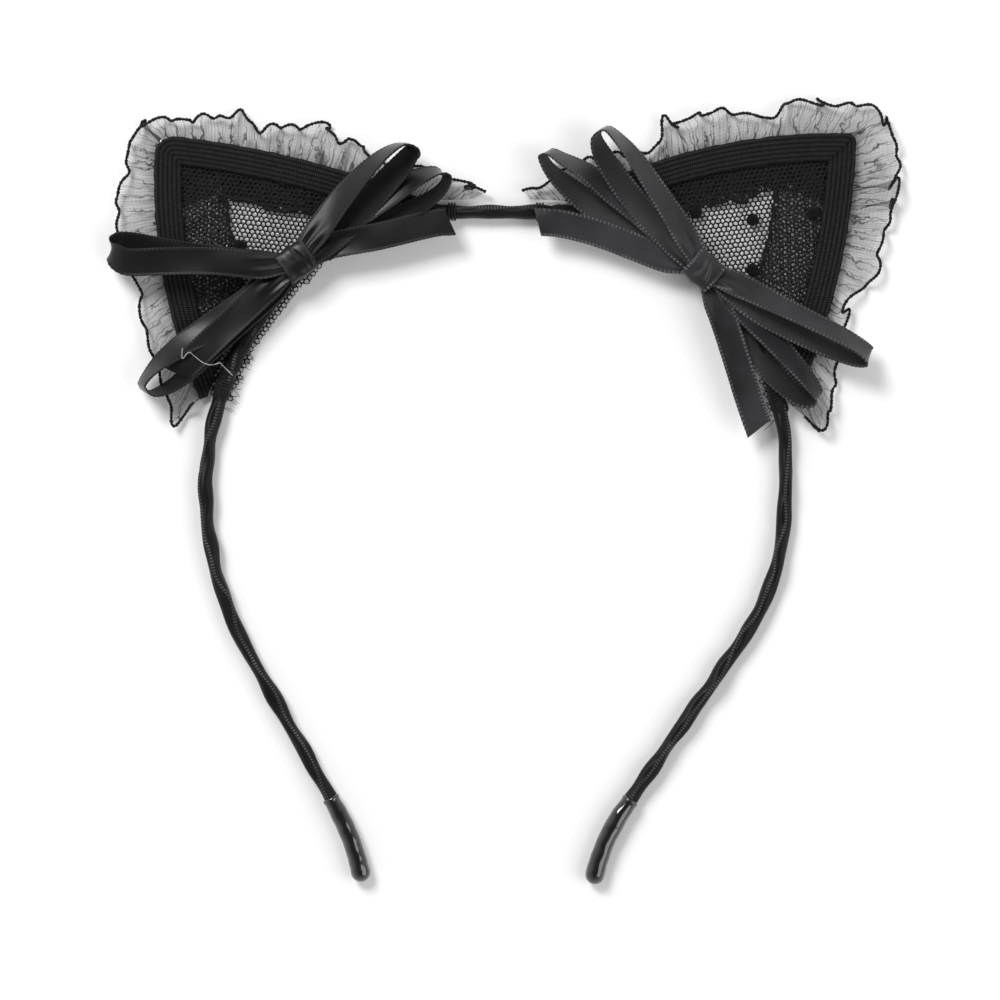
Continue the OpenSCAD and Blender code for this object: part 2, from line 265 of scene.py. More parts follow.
def grid_piece(name, points, material, u, v, body=None, close_n=False, close_m=False, ends=False, flip=False):
    """A piece over a grid of points [n, m, 3]; u and v give the UV of each column and row."""
    n, m = points.shape[:2]
    faces, rows, cols = lattice(n, m, close_n, close_m)
    uv = np.stack([np.asarray(u)[cols], np.asarray(v)[rows]], -1)
    if ends:
        half = m // 2
        j = np.arange(half - 1)
        for row, back in ((0, False), (n - 1, True)):
            cap = row * m + np.stack([j, j + 1, m - 2 - j, m - 1 - j], -1)
            caps_uv = np.stack([np.asarray(u)[cap - row * m], np.full(cap.shape, np.asarray(v)[row])], -1)
            faces = np.vstack([faces, cap[:, ::-1] if back else cap])
            uv = np.concatenate([uv, caps_uv[:, ::-1] if back else caps_uv])
    if flip:
        faces, uv = faces[:, ::-1], uv[:, ::-1]
    return make_piece(name, points.reshape(-1, 3), faces, material, uv, body)


def sweep(path, across, up, section):
    """Points of a section [n, m, 2] carried along a path by its across and up directions."""
    return (path[:, None] + section[..., :1] * across[:, None] + section[..., 1:] * up[:, None])


def ring(radius, angle):
    return np.stack([radius * np.cos(angle), radius * np.sin(angle)], -1)


def tube_points(path, radius, count=10):
    """Rings round a path in space; radius is one number, or [n] or [n, count]."""
    t = tangents(path)
    side = unit(np.cross([0.0, 0.0, 1.0], t))
    over = np.cross(t, side)
    a = np.arange(count) * TAU / count
    r = np.broadcast_to(np.asarray(radius, float).reshape(-1, 1) if np.ndim(radius) < 2 else radius,
                        (len(path), count))
    return sweep(path, side, over, ring(r, a))


def band_points(path, sign, radius, angle, clearance):
    """Rings round the band, kept clearance above the surface it lies on."""
    t = tangents(path) * sign
    across = np.stack([-t[:, 1], t[:, 0], np.zeros(len(t))], -1)
    up = np.zeros_like(across)
    up[:, 2] = 1
    lowest = (BAND_Z - clearance) / np.maximum(-np.sin(angle), 0.2)
    radius = np.where(np.sin(angle) < 0, np.minimum(radius, lowest), radius)
    return sweep(path, across, up, ring(radius, angle))


def closed(face, back):
    """The section of a cloth with a face and a back."""
    return np.concatenate([face, back[:, ::-1]], axis=1)


def two_faced(across, face=0, back=BACK):
    """UV x round a closed section, from the distances across it."""
    return np.concatenate([across + face, across[::-1] + back, across[:1] + face])


def joined(grids, u_step, v_step):
    """Vertices, faces and UVs of several grids that each close round their columns."""
    faces, uv, count = [], [], 0
    for grid in grids:
        quads, rows, cols = lattice(*grid.shape[:2], close_m=True)
        faces.append(quads + count)
        uv.append(np.stack([cols * u_step, rows * v_step], -1).reshape(-1, 2))
        count += grid.shape[0] * grid.shape[1]
    return np.vstack([grid.reshape(-1, 3) for grid in grids]), np.vstack(faces), np.vstack(uv)


def lift(flat, z):
    """Flat points with their heights."""
    return np.concatenate([flat, np.broadcast_to(np.asarray(z, float), flat.shape[:-1])[..., None]], -1)


# ---------------------------------------------------------------- materials

class Nodes:
    """A short way to write a node tree."""

    def __init__(self, name):
        self.mat = bpy.data.materials.new(name)
        self.mat.use_nodes = True
        self.tree = self.mat.node_tree
        self.shader = self.tree.nodes["Principled BSDF"]

    def add(self, kind, settings=(), **inputs):
        made = self.tree.nodes.new(kind)
        for key, value in dict(settings).items():
            setattr(made, key, value)
        for key, value in inputs.items():
            self.put(made, key.replace("_", " "), value)
        return made

    def put(self, made, key, value):
        """Link or set one input; a colour is given without its alpha."""
        socket = made.inputs[key]
        if isinstance(value, bpy.types.NodeSocket):
            self.tree.links.new(value, socket)
        elif socket.type == "RGBA":
            socket.default_value = (*value, 1)
        else:
            socket.default_value = value

    def math(self, operation, a, b=0.0, c=0.0):
        made = self.add("ShaderNodeMath", {"operation": operation})
        for k, value in enumerate((a, b, c)):
            self.put(made, k, value)
        return made.outputs[0]

    def times(self, a, b):
        return self.math("MULTIPLY", a, b)

    def plus(self, a, b):
        return self.math("ADD", a, b)

    def scaled(self, a, by, offset):
        return self.math("MULTIPLY_ADD", a, by, offset)

    def coordinate(self, kind):
        return self.add("ShaderNodeTexCoord").outputs[kind]

    def noise(self, scale, detail=3.0, kind="Object"):
        made = self.add("ShaderNodeTexNoise", Vector=self.coordinate(kind), Scale=scale, Detail=detail)
        return made.outputs["Fac"]

    def ramp(self, fac, stops):
        made = self.add("ShaderNodeValToRGB", Fac=fac)
        ramp = made.color_ramp
        while len(ramp.elements) < len(stops):
            ramp.elements.new(0.5)
        for element, (place, color) in zip(ramp.elements, stops):
            element.position = place
            element.color = (*color, 1)
        return made.outputs["Color"]

    def greys(self, fac, dark, pale, low=0.3, high=0.7):
        """From one grey at low to another at high."""
        return self.ramp(fac, [(low, grey(dark)), (high, grey(pale))])

    def uv(self):
        """Across and along, both in mm."""
        made = self.add("ShaderNodeSeparateXYZ", Vector=self.coordinate("UV"))
        return made.outputs["X"], made.outputs["Y"]

    def wave(self, x, pitch, phase=0.0):
        """0 to 1 and back every pitch of x."""
        turned = self.scaled(x, TAU / pitch, phase)
        return self.scaled(self.math("SINE", turned), 0.5, 0.5)

    def band(self, x, low, high):
        """1 where x is between low and high."""
        return self.times(self.math("GREATER_THAN", x, low), self.math("LESS_THAN", x, high))

    def bump(self, height, strength, distance):
        made = self.add("ShaderNodeBump", Height=height, Strength=strength, Distance=distance)
        return made.outputs["Normal"]

    def mix(self, fac, a, b):
        made = self.add("ShaderNodeMix", {"data_type": "RGBA"})
        for index, value in ((0, fac), (6, a), (7, b)):
            self.put(made, index, value)
        return made.outputs[2]

    def set(self, **values):
        for key, value in values.items():
            self.put(self.shader, key.replace("_", " "), value)
        return self.mat


def grey(value, blue=1.08):
    return (value, value, value * blue)


def satin(name, light):
    """Satin ribbon: smooth on its face (UV x from 0), ribbed on its back (from BACK), beaded at its edges."""
    n = Nodes(name)
    x, y = n.uv()
    on_back = n.math("GREATER_THAN", x, BACK / 2)
    across = n.math("SUBTRACT", x, n.times(on_back, BACK))
    middle = n.math("ABSOLUTE", n.math("SUBTRACT", across, RIBBON_W / 2))
    edge = n.math("GREATER_THAN", middle, RIBBON_W / 2 - 0.62)
    dash = n.math("GREATER_THAN", n.wave(y, BEAD_PITCH), 0.52)
    bead = n.times(edge, dash)
    patches = n.noise(55, 4)
    face = n.greys(patches, light * 0.45, light * 1.8)
    # On the back the colour follows the ribs, paler on their crests and darker between them: painted light
    # and shade of the ribs.
    ribs = n.wave(y, 0.42)
    back = n.mix(ribs, grey(light * 0.5), grey(light * 1.6))
    cloth = n.mix(on_back, face, back)
    plain = n.mix(n.times(edge, 0.5), cloth, grey(light * 0.5))
    # Pale dashes on the raised edge beads, varied by noise: painted highlights, the glint of the beads.
    painted_bead_glint = n.times(bead, n.scaled(n.noise(210, 3), 2.2, -0.55))
    color = n.mix(n.math("MAXIMUM", painted_bead_glint, 0.0), plain, grey(light * 5.5))
    threads = n.times(n.wave(x, 0.16), 0.35)
    twill = n.wave(n.plus(n.times(x, 0.5), y), 0.36)
    height = n.plus(n.times(n.plus(threads, twill), 0.15),
                    n.plus(n.times(n.times(ribs, on_back), 1.6),
                           n.times(bead, 1.2)))
    rough = n.scaled(n.noise(90, 3), 0.14, 0.24)
    rough = n.scaled(n.math("MAXIMUM", on_back, edge), 0.2, rough)
    return n.set(Base_Color=color, Roughness=rough, Normal=n.bump(height, 0.55, 0.00012),
                 Anisotropic=0.5, Specular_IOR_Level=0.3, Sheen_Weight=0.02, Sheen_Roughness=0.4,
                 Sheen_Tint=(0.75, 0.78, 0.85))


def wrap_satin():
    """The band's ribbon: UV x is the distance from its stitched edge, which runs along the band."""
    n = Nodes("wrap_satin")
    x, y = n.uv()
    edge = n.band(x, 0.12, 0.78)
    dash = n.math("GREATER_THAN", n.wave(y, WRAP_BEAD_PITCH), 0.45)
    bead = n.times(edge, dash)
    cloth = n.greys(n.noise(70, 4), 0.003, 0.0065)
    # The stitched edge strip and the groove under the ribbon's overlapping edge are darkened; in the groove
    # this darkening is painted shade.
    groove = n.band(x, -0.3, 0.12)
    dark = n.mix(n.times(n.math("MAXIMUM", edge, groove), 0.7), cloth, grey(0.004))
    # Pale dashes on the stitched edge's raised beads, varied by noise: painted highlights, the glint of the
    # beads.
    painted_bead_glint = n.times(bead, n.scaled(n.noise(140, 2), 1.5, -0.1))
    color = n.mix(n.math("MAXIMUM", painted_bead_glint, 0.0), dark, grey(0.085))
    ribs = n.wave(n.plus(y, n.times(x, 0.35)), 0.3)
    height = n.plus(n.times(ribs, 0.4), n.times(bead, 1.0))
    rough = n.scaled(n.noise(90, 3), 0.2, 0.3)
    return n.set(Base_Color=color, Roughness=n.scaled(edge, 0.2, rough),
                 Normal=n.bump(height, 0.5, 0.0001), Anisotropic=0.35, Specular_IOR_Level=0.16,
                 Sheen_Weight=0.06, Sheen_Roughness=0.4)


def yarn(name, light, rough, scale=900, sheen=0.25, pitch=0.5):
    """Spun or knitted yarn, with a lay at pitch along it."""
    n = Nodes(name)
    y = n.uv()[1]
    fuzz = n.noise(scale, 4)
    color = n.greys(fuzz, light * 0.5, light * 1.7, 0.3, 0.72)
    height = n.plus(n.wave(y, pitch), n.times(fuzz, 0.8))
    return n.set(Base_Color=color, Roughness=n.scaled(fuzz, 0.2, rough - 0.1),
                 Normal=n.bump(height, 0.6, 0.00015), Specular_IOR_Level=0.15, Sheen_Weight=sheen * 0.5,
                 Sheen_Roughness=0.5)


def braid_cloth():
    """Elastic braid: UV x runs over its cords, with a chain of stitches along each."""
    n = Nodes("braid_cloth")
    x, y = n.uv()
    cord = n.wave(x, 1.1, -TAU / 4)
    chain = n.wave(n.plus(y, n.times(x, 0.8)), 0.62)
    fuzz = n.noise(1100, 4)
    lit = n.times(n.scaled(cord, 0.55, 0.4), n.scaled(chain, 0.6, n.times(fuzz, 0.7)))
    color = n.greys(lit, 0.0025, 0.032, 0.2, 0.85)
    height = n.plus(n.times(chain, 1.5), fuzz)
    return n.set(Base_Color=color, Roughness=n.scaled(fuzz, 0.2, 0.62),
                 Normal=n.bump(height, 0.7, 0.00018), Specular_IOR_Level=0.12, Sheen_Weight=0.02,
                 Sheen_Roughness=0.5)


def organza_cloth():
    """Sheer organza, clear between its threads. UV x runs out from the ear and UV y along the edge."""
    n = Nodes("organza_cloth")
    x, y = n.uv()
    drift = n.scaled(n.noise(160, 2), 0.9, -0.45)
    long_way = n.math("POWER", n.wave(n.plus(y, drift), 0.62), 3.0)
    fine = n.math("POWER", n.wave(n.plus(y, drift), 0.31), 2.0)
    cross = n.math("POWER", n.wave(n.plus(x, drift), 0.8), 3.0)
    cloud = n.noise(110, 3)
    gathered = n.times(n.math("SUBTRACT", 1.0, n.math("MINIMUM", n.times(x, 0.16), 1.0)), 0.16)
    cover = n.scaled(long_way, 0.2, n.scaled(cross, 0.07, 0.13))
    cover = n.scaled(fine, 0.05, cover)
    cover = n.plus(n.scaled(cloud, 0.12, cover), gathered)
    fade = n.math("SUBTRACT", 1.1, n.times(x, 0.1))
    for scale, pitch, bend in ((260, 3.3, 4.5), (340, 5.1, 6.0)):
        curved = n.scaled(n.noise(scale, 2), bend, y)
        crease = n.math("POWER", n.wave(curved, pitch), 34.0)
        cover = n.scaled(n.times(crease, n.math("MAXIMUM", fade, 0.0)), 0.8, cover)
    color = n.greys(cloud, 0.02, 0.05)
    return n.set(Base_Color=color, Alpha=n.math("MINIMUM", cover, 0.95), Roughness=0.5,
                 Normal=n.bump(n.plus(long_way, cross), 0.3, 0.0001), Sheen_Weight=0.3,
                 Sheen_Roughness=0.3)


def flock_fibre():
    n = Nodes("flock_fibre")
    fuzz = n.noise(2600, 5)
    color = n.greys(fuzz, 0.002, 0.009, 0.35, 0.7)
    return n.set(Base_Color=color, Roughness=0.95, Normal=n.bump(fuzz, 1.0, 0.0003), Sheen_Weight=0.04,
                 Specular_IOR_Level=0.1, Sheen_Roughness=0.6)


def dipped_plastic():
    n = Nodes("dipped_plastic")
    lumps = n.noise(420, 3)
    pits = n.noise(2400, 2)
    color = n.greys(lumps, 0.0035, 0.007)
    height = n.scaled(n.math("GREATER_THAN", pits, 0.72), -0.5, lumps)
    return n.set(Base_Color=color, Roughness=n.scaled(lumps, 0.05, 0.05),
                 Normal=n.bump(height, 0.08, 0.0002), Coat_Weight=1.0, Coat_Roughness=0.03)


def drawn_steel():
    n = Nodes("drawn_steel")
    scratches = n.noise(1500, 4)
    color = n.ramp(scratches, [(0.3, (0.42, 0.42, 0.43)), (0.7, (0.62, 0.62, 0.63))])
    return n.set(Base_Color=color, Metallic=1.0, Roughness=n.scaled(scratches, 0.2, 0.28),
                 Normal=n.bump(scratches, 0.2, 0.00005))


def paper_floor():
    n = Nodes("paper_floor")
    fine = n.noise(30, 3)
    color = n.ramp(fine, [(0.3, (0.905, 0.905, 0.91)), (0.7, (0.92, 0.92, 0.922))])
    return n.set(Base_Color=color, Roughness=0.9, Specular_IOR_Level=0.1)


# The right bow's copy has a paler base and paler beads than the left: painted light, standing in for the
# brighter light on the right bow.
SATIN = [satin("satin_left", 0.004), satin("satin_right", 0.02)]
WRAP = wrap_satin()
NET = yarn("net_yarn", 0.006, 0.6, pitch=0.3, sheen=0.05)
CORD = yarn("overlock_yarn", 0.008, 0.72, pitch=0.5, sheen=0.1)
THREAD = yarn("black_thread", 0.008, 0.55, pitch=0.25, sheen=0.1)
PALE_THREAD = yarn("pale_thread", 0.36, 0.6, pitch=0.3)
BRAID = braid_cloth()
ORGANZA = organza_cloth()
FLOCK = flock_fibre()
DIPPED = dipped_plastic()
STEEL = drawn_steel()


# ---------------------------------------------------------------- band

# Spacing of the band's points, and a reach to each side of the hinge
BAND_STEP, WRAP_BLEND = 0.2, 16


def band_line(side):
    """The band's centreline from the middle of the crown into the cap, in the frame."""
    inside_cap = CAP[side][1:int(2 / WALK_STEP)]
    flat = np.vstack([CROWN[side], ARM[side][1:], inside_cap])
    return spaced(lift(to_frame(side, flat[:, :2]), BAND_Z), BAND_STEP)


EDGE_DRIFT = wobble(11, 62, 5)
EDGE_SHAKE = wobble(12, 17, 5)
BULGE = wobble(13, 15, 6)
BULGE_ROUND = wobble(14, 19, 6)


def make_wrap(side):
    """Satin ribbon folded lengthwise round the wire: a scroll whose stitched edge wanders along the front."""
    path = band_line(side)
    sign = -1 if side == LEFT else 1
    s = sign * lengths(path)
    turn = np.concatenate([[0, 0.03], np.linspace(0.1, 0.5, 8), np.linspace(0.62, TAU - 0.12, 30),
                           [TAU - 0.04]])
    step = np.concatenate([[0], np.ones(len(turn) - 1)]) * (0.34 * (1 - turn / TAU))
    start = TAU / 4 - 0.26 + 0.42 * EDGE_DRIFT(s) + 0.2 * EDGE_SHAKE(s)
    theta = start[:, None] + turn[None]
    bulge = 0.17 * BULGE(s[:, None], 5 * np.cos(theta)) + 0.12 * BULGE_ROUND(s[:, None], 5 * np.sin(theta))
    e = turn * BAND_R
    window = np.clip(1 - np.abs(e - 0.45) / 0.36, 0, 1)
    bead = window * (0.1 + 0.09 * np.cos(TAU * s[:, None] / WRAP_BEAD_PITCH))
    sag = 0.8 + 0.2 * smooth_step(np.abs(s)[:, None] / 4)
    r = 1.52 + step[None] + bulge * sag + bead
    points = band_points(path, sign, r, theta, 0.15)
    u = np.append(e, TAU * BAND_R)
    u = np.where(u > 7, u - TAU * BAND_R, u)
    obj = grid_piece(f"{SIDES[side]}_band_wrap", points, WRAP, u, s, close_m=True, flip=side == LEFT)
    hinge = round(lengths(CROWN[side][:, :2])[-1] / BAND_STEP)
    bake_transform(obj)
    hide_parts(f"{SIDES[side]}_arm_wrap", *(["crown_wrap"] if side == LEFT else []))


# Angles of the rings that round off the cap's end
CAP_END = np.radians([12, 26, 40, 54, 66, 76, 84, 88.5])


def make_cap(side):
    """Dipped cap: a lip round the wrap, a waist, and a lumpy rounded end."""
    mouth = ARM[side][-int(CAP_GRIP / WALK_STEP) - 1:-1]
    flat = np.vstack([mouth, CAP[side]])
    path = spaced(lift(to_frame(side, flat[:, :2]), BAND_Z), 0.22)
    s = lengths(path)
    total = s[-1]
    end_r = 2.35
    t = tangents(path)
    tail = path[-1] + t[-1] * (end_r * np.sin(CAP_END))[:, None]
    path = np.vstack([path, tail])
    s_all = np.concatenate([s, total + end_r * np.sin(CAP_END)])
    grow = 1.98 + 0.25 * smooth_step(s_all / 7) + 0.12 * smooth_step((s_all - total + 5) / 4)
    lip = 0.16 * np.exp(-((s_all - 0.5) / 0.35) ** 2) - 0.2 * np.exp(-(s_all / 0.22) ** 2)
    round_off = np.ones(len(s_all))
    round_off[len(s):] = np.cos(CAP_END)
    a = np.arange(40) * TAU / 40
    lumps = wobble(31 + side, 6, 6)(s_all[:, None], 2.2 * np.cos(a)) * 0.035
    runs = wobble(33 + side, 3.2, 6)(s_all[:, None], 2.2 * np.sin(a)) * 0.015
    r = (grow + lip)[:, None] * round_off[:, None] + (lumps + runs) * round_off[:, None]
    rim = tube_points(np.vstack([path[2], path[0]]), 1.6, 40)
    points = np.concatenate([rim, tube_points(path, r, 40)])
    v = np.concatenate([[-1, -0.5], s_all])
    obj = grid_piece(f"{SIDES[side]}_cap_dip", points, DIPPED, np.arange(41) * 0.37, v, f"{SIDES[side]}_arm",
                     close_m=True)
    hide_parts(f"{SIDES[side]}_tip_cap")


# ---------------------------------------------------------------- braid

def leg_frame(side, leg):
    """One outer side of the ear from its foot to the apex, with the direction into the ear."""
    line = TOP_LEG[side] if leg == "top" else LOW_LEG[side][::-1]
    line = spaced(line, 0.27)
    into = left_of(tangents(line)) * (-1 if leg == "top" else 1)
    return line, into


def make_braid(side, leg):
    """A folded casing of elastic braid, six cords wide, mitred to the other leg at the apex."""
    line, into = leg_frame(side, leg)
    other = leg_frame(side, "side" if leg == "top" else "top")[0]
    ahead, back = unit(line[-1] - line[-6]), unit(other[-6] - other[-1])
    half_angle = (math.pi - math.acos(float(np.clip(ahead @ back, -1, 1)))) / 2
    s = lengths(line)
    across = np.linspace(0, 1, 61)
    d = across * BRAID_W
    share = np.linspace(0, 1, len(line))
    # The rows end on the mitre, and start clear of the band
    start = np.zeros(len(d))
    for k, inset in enumerate(d):
        row = line + into * inset
        gap = from_line(row, CROWN[side][:, :2])[0]
        clear = np.nonzero(gap > BAND_CLEAR)[0]
        start[k] = s[clear[0]] if len(clear) else 0
    start = np.maximum.accumulate(start)
    stop = s[-1] - d / math.tan(half_angle)
    at = start[None] + share[:, None] * (stop - start)[None]
    points = places(line, s, at) + places(into, s, at) * d[None, :, None]
    corner_r = (4.8, 2.4)[side]
    corner = line[-1] + into[-1] * corner_r - ahead * corner_r / math.tan(half_angle)
    away = points - corner
    ahead_by, out_by = away @ ahead, away @ -into[-1]
    angle = np.arctan2(ahead_by, np.maximum(out_by, 1e-6))
    wedge = (ahead_by > 0) & (out_by > 0)
    points = np.where(wedge[..., None], corner + away * np.cos(angle)[..., None], points)
    phase = across * BRAID_CORDS * TAU
    ridge = np.sqrt(0.5 - 0.5 * np.cos(phase))
    row_of = np.minimum((across * BRAID_CORDS).astype(int), BRAID_CORDS - 1)
    chain = 0.5 + 0.5 * np.cos(TAU * at / 0.8 + row_of * 2.1)
    edge = np.minimum(np.minimum(across, 1 - across) * BRAID_W / 0.5, 1)
    rise = wobble(51 + side, 16)(at, d[None]) * 0.08
    layer = 0.12 if leg == "top" else 0.0
    front = CASING_T - 0.5 + layer + (0.12 * ridge + 0.3 * ridge * chain) * edge + 0.2 * edge + rise
    rear = 0.35 - (0.22 * ridge + 0.1 * ridge * chain) * edge - 0.05 * edge
    shake = (wobble(53 + side, 5)(at, 0 * at) * 0.1)[..., None] * (1 - edge)[None, :, None]
    points = points + shake * 0.8
    top = lift(to_frame(side, points), front)
    bottom = lift(to_frame(side, points), rear)
    flip = (side == LEFT) == (leg == "top")
    obj = grid_piece(f"{SIDES[side]}_braid_{leg}", closed(top, bottom), BRAID, two_faced(d), s,
                     f"{SIDES[side]}_ear", close_m=True, ends=True, flip=flip)
    if leg == "top":
        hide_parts(f"{SIDES[side]}_ear_braid")


# ---------------------------------------------------------------- net

NET_ORIGIN, NET_PITCH, NET_THREAD, HEX_TURN, NET_SEED = (50, -12), 1.2, 0.26, 0.12, 65
YARN_T = 0.13
# The net within HEM_REACH of the band is cut into parts; one under SMALLEST_PART mm2 is left out
HEM_REACH, BASE_PARTS, SMALLEST_PART = 10.0, 6, 20
# How far the first and the last part reach past the crown's ends
PAST_CROWN = 9
EAR_INSET = 3.0
# How far the net's raw edge reaches past the band, as (distance along the crown, reach)
RAW_EDGE = [[(0, 1.6), (30, 1.8), (44, 2.2), (50, 3.2), (60, 3.5), (72, 3.2), (84, 2.7), (90, 2.0)],
            [(0, 1.6), (45, 1.8), (70, 2.2), (84, 2.6), (92, 2.4)]]
# Outline of the opening in the facing; its first points are the facing's wavy free edge
FREE_EDGE_POINTS = 13
WINDOW = [[
    [44.2, -0.5], [47, 0.7], [51.1, 0.2], [54.6, 0.7], [58.1, 2.4], [62.2, 3], [65, 3.6], [65, 1.8],
    [64.4, -3.9], [63, -8], [62.2, -14], [61, -21.2], [59.8, -28.4], [59, -36], [40, -46], [16, -20],
    [24, -3.4], [34, -2.0], [40, -1.4]
], [
    [46.1, 0.4], [49.7, 1.4], [54, 2.3], [56.4, 3.2], [58.6, 2.3], [61.9, 4.1], [66.7, 5.7], [65.5, -5.1],
    [64.3, -9.9], [63.4, -13], [61.9, -16.6], [60.7, -23.6], [59.5, -30.8], [58, -40], [40, -50], [16, -22],
    [24, -3.6], [34, -1.4], [40, -0.2]
]]


def ear_polygon(side, inset):
    """The outline of the ear, inset from the braid's outside line and closed well inside the band."""
    top = beside(TOP_LEG[side], -inset)
    low = beside(LOW_LEG[side], -inset)
    cut_top = top[(top - low[0]) @ unit(top[-1] - top[0]) < 0]
    cut_low = low[(low - top[-1]) @ unit(low[-1] - low[0]) > 0]
    crown, heading = CROWN[side][::-6, :2], CROWN[side][::-6, 2]
    head = crown + 14 * np.stack([np.sin(heading), -np.cos(heading)], -1)
    return np.vstack([cut_top, cut_low, head])


def hexagons(side, keep, pitch, thread, turn, shift, height, jitter_seed, jitter=0.13):
    """Vertices, faces and flat area of a net of six-sided holes over the cells that keep picks."""
    reach = np.arange(-90, 91)
    i, j = np.meshgrid(reach, reach, indexing="ij")
    cells = np.stack([(i + j / 2).ravel(), (j * math.sqrt(3) / 2).ravel()], -1) * pitch
    spin = np.array([[math.cos(turn), math.sin(turn)], [-math.sin(turn), math.cos(turn)]])
    origin = np.add(NET_ORIGIN, shift)
    flat = cells @ spin + origin
    cells = cells[keep(flat)]
    out = ring(pitch / math.sqrt(3), TAU / 12 + np.arange(6) * TAU / 6)
    corners = (cells[:, None] + out[None]).reshape(-1, 2)
    _, first, which = np.unique(np.round(corners / pitch * 50).astype(int), axis=0, return_index=True,
                                return_inverse=True)
    which = which.reshape(-1, 6)
    shared = corners[first]
    moved = [wobble(jitter_seed + k, 1.9, 5)(shared[:, 0], shared[:, 1]) for k in (0, 1)]
    shared = shared + jitter * pitch * np.stack(moved, -1)
    around = shared[which]
    middle = around.mean(1, keepdims=True)
    hole = middle + (around - middle) * (1 - thread / pitch)
    hole = 0.75 * hole + 0.125 * (np.roll(hole, 1, 1) + np.roll(hole, -1, 1))
    n, m = len(shared), len(which) * 6
    rim, eye = shared @ spin + origin, hole.reshape(-1, 2) @ spin + origin
    z_rim, z_eye = height(rim), height(eye)
    verts = np.vstack([lift(to_frame(side, flat), z + away * YARN_T) for flat, z, away in (
        (rim, z_rim, 0.5), (rim, z_rim, -0.5), (eye, z_eye, 0.25), (eye, z_eye, -0.25))])
    nxt = np.roll(which, -1, 1)
    h = np.arange(m).reshape(-1, 6)
    h_next = np.roll(h, -1, 1)
    quads = [np.stack(q, -1).reshape(-1, 4) for q in (
        (which, nxt, 2 * n + h_next, 2 * n + h),
        (nxt + n, which + n, 2 * n + m + h, 2 * n + m + h_next),
        (2 * n + h, 2 * n + h_next, 2 * n + m + h_next, 2 * n + m + h))]
    faces = np.vstack(quads)
    cell_area = pitch ** 2 * math.sqrt(3) / 2
    return verts, faces if side == RIGHT else faces[:, ::-1], len(which) * cell_area


def cut_size(obj):
    """Width and length in metres of the smallest rectangle round a flat-lying piece of cloth."""
    plan = np.array([v.co[:2] for v in obj.data.vertices])
    turns = np.radians(np.arange(0, 90, 1.0))
    spans = [np.ptp(plan @ np.array([[math.cos(t), -math.sin(t)], [math.sin(t), math.cos(t)]]), axis=0)
             for t in turns]
    return tuple(float(x) for x in sorted(min(spans, key=np.prod)))


def make_net(side):
    """The ear's net, split where it crosses the hinge into base parts and a panel that rides on the ear."""
    outline = ear_polygon(side, EAR_INSET)
    line = CROWN[side][:, :2]
    total = lengths(line)[-1]
    ragged = wobble(61 + side, 3.5)
    crease = wobble(63 + side, 13)

    def height(p):
        gap = from_line(p, line)[0]
        return 0.4 + 0.62 * smooth_step((gap - 2) / 5) + 0.1 * crease(p[:, 0], p[:, 1])

    def zone(p):
        gap, s = from_line(p, line)
        edge = np.interp(s, *np.transpose(RAW_EDGE[side])) + 0.15 * ragged(s)
        return gap, s, inside(p, outline) & (gap > -edge)

    def panel(p):
        gap, _, ok = zone(p)
        return ok & (gap >= HEM_REACH)

    name = SIDES[side]
    weave = (NET_PITCH, NET_THREAD, HEX_TURN, (0, 0), height, NET_SEED)
    verts, faces, area = hexagons(side, panel, *weave)
    net = make_piece(f"{name}_net", verts, faces, NET, np.zeros((faces.size, 2)), f"{name}_ear")
    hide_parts(f"{name}_ear_net")
    parts = []
    bounds = np.linspace(0, total, BASE_PARTS + 1)
    bounds[[0, -1]] += [-PAST_CROWN, PAST_CROWN]
    for k, (low, high) in enumerate(zip(bounds, bounds[1:])):

        def part(p, low=low, high=high):
            gap, s, ok = zone(p)
            return ok & (gap < HEM_REACH) & (s >= low) & (s < high)
        verts, faces, part_area = hexagons(side, part, *weave)
        if part_area < SMALLEST_PART:
            continue
        obj = make_piece(f"{name}_net_base_{k + 1}", verts, faces, NET, np.zeros((faces.size, 2)))
        station = CROWN[side][int((k + 0.5) / BASE_PARTS * len(CROWN[side]))]
        out = np.array([-math.sin(station[2]), math.cos(station[2])])
        ends = [lift(to_frame(side, station[:2] + out * d), 1.0) * MM for d in (BAND_R + 0.1, HEM_REACH)]
        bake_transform(obj)
        parts.append(obj)
    return net, parts, area


# Where the sleeve starts and ends along the band, from the middle of the crown
SLEEVE = [(13, 88), (13, 92)]


def make_sleeve(side):
    """The ear's net wrapped round the band and sewn down: a knitted sleeve over it from foot to foot."""
    path = band_line(side)
    s = lengths(path)
    path = spaced(path[(s > SLEEVE[side][0]) & (s < SLEEVE[side][1])], 0.17)
    s = lengths(path)
    count = 36
    a = np.arange(count) * TAU / count
    knit = np.cos(5 * a[None] + TAU * s[:, None] / 1.15) * np.cos(5 * a[None] - TAU * s[:, None] / 1.15)
    pucker = wobble(161 + side, 5)(s[:, None], 2 * np.cos(a)[None])
    stray = wobble(163 + side, 1.3)(s[:, None], 2 * np.sin(a)[None])
    r = 1.98 + 0.12 * knit + 0.1 * pucker + 0.05 * stray
    r = r * np.clip(np.minimum(s, s[-1] - s) / 6 + 0.86, 0, 1)[:, None]
    points = band_points(path, 1, r, a[None], 0.1)
    obj = grid_piece(f"{SIDES[side]}_net_sleeve", points, NET, np.arange(count + 1) * 0.36, s, "crown",
                     close_m=True, flip=side == RIGHT)


def hairs(name, starts, ends, bend, radius, material, seed, body):
    """Fine loose threads, each a thin bent tube."""
    pick = np.random.default_rng(seed)
    tubes = []
    for a, b in zip(np.array(starts), np.array(ends)):
        middle = (a + b) / 2 + pick.normal(0, bend, 3) * [1, 1, 0.4]
        path = spaced(catmull([a, middle, b], 6), 0.3)
        tubes.append(tube_points(path, np.linspace(radius, radius * 0.55, len(path)), 6))
    verts, faces, uv = joined(tubes, 0.1, 0.3)
    return make_piece(name, verts, faces, material, uv, body)


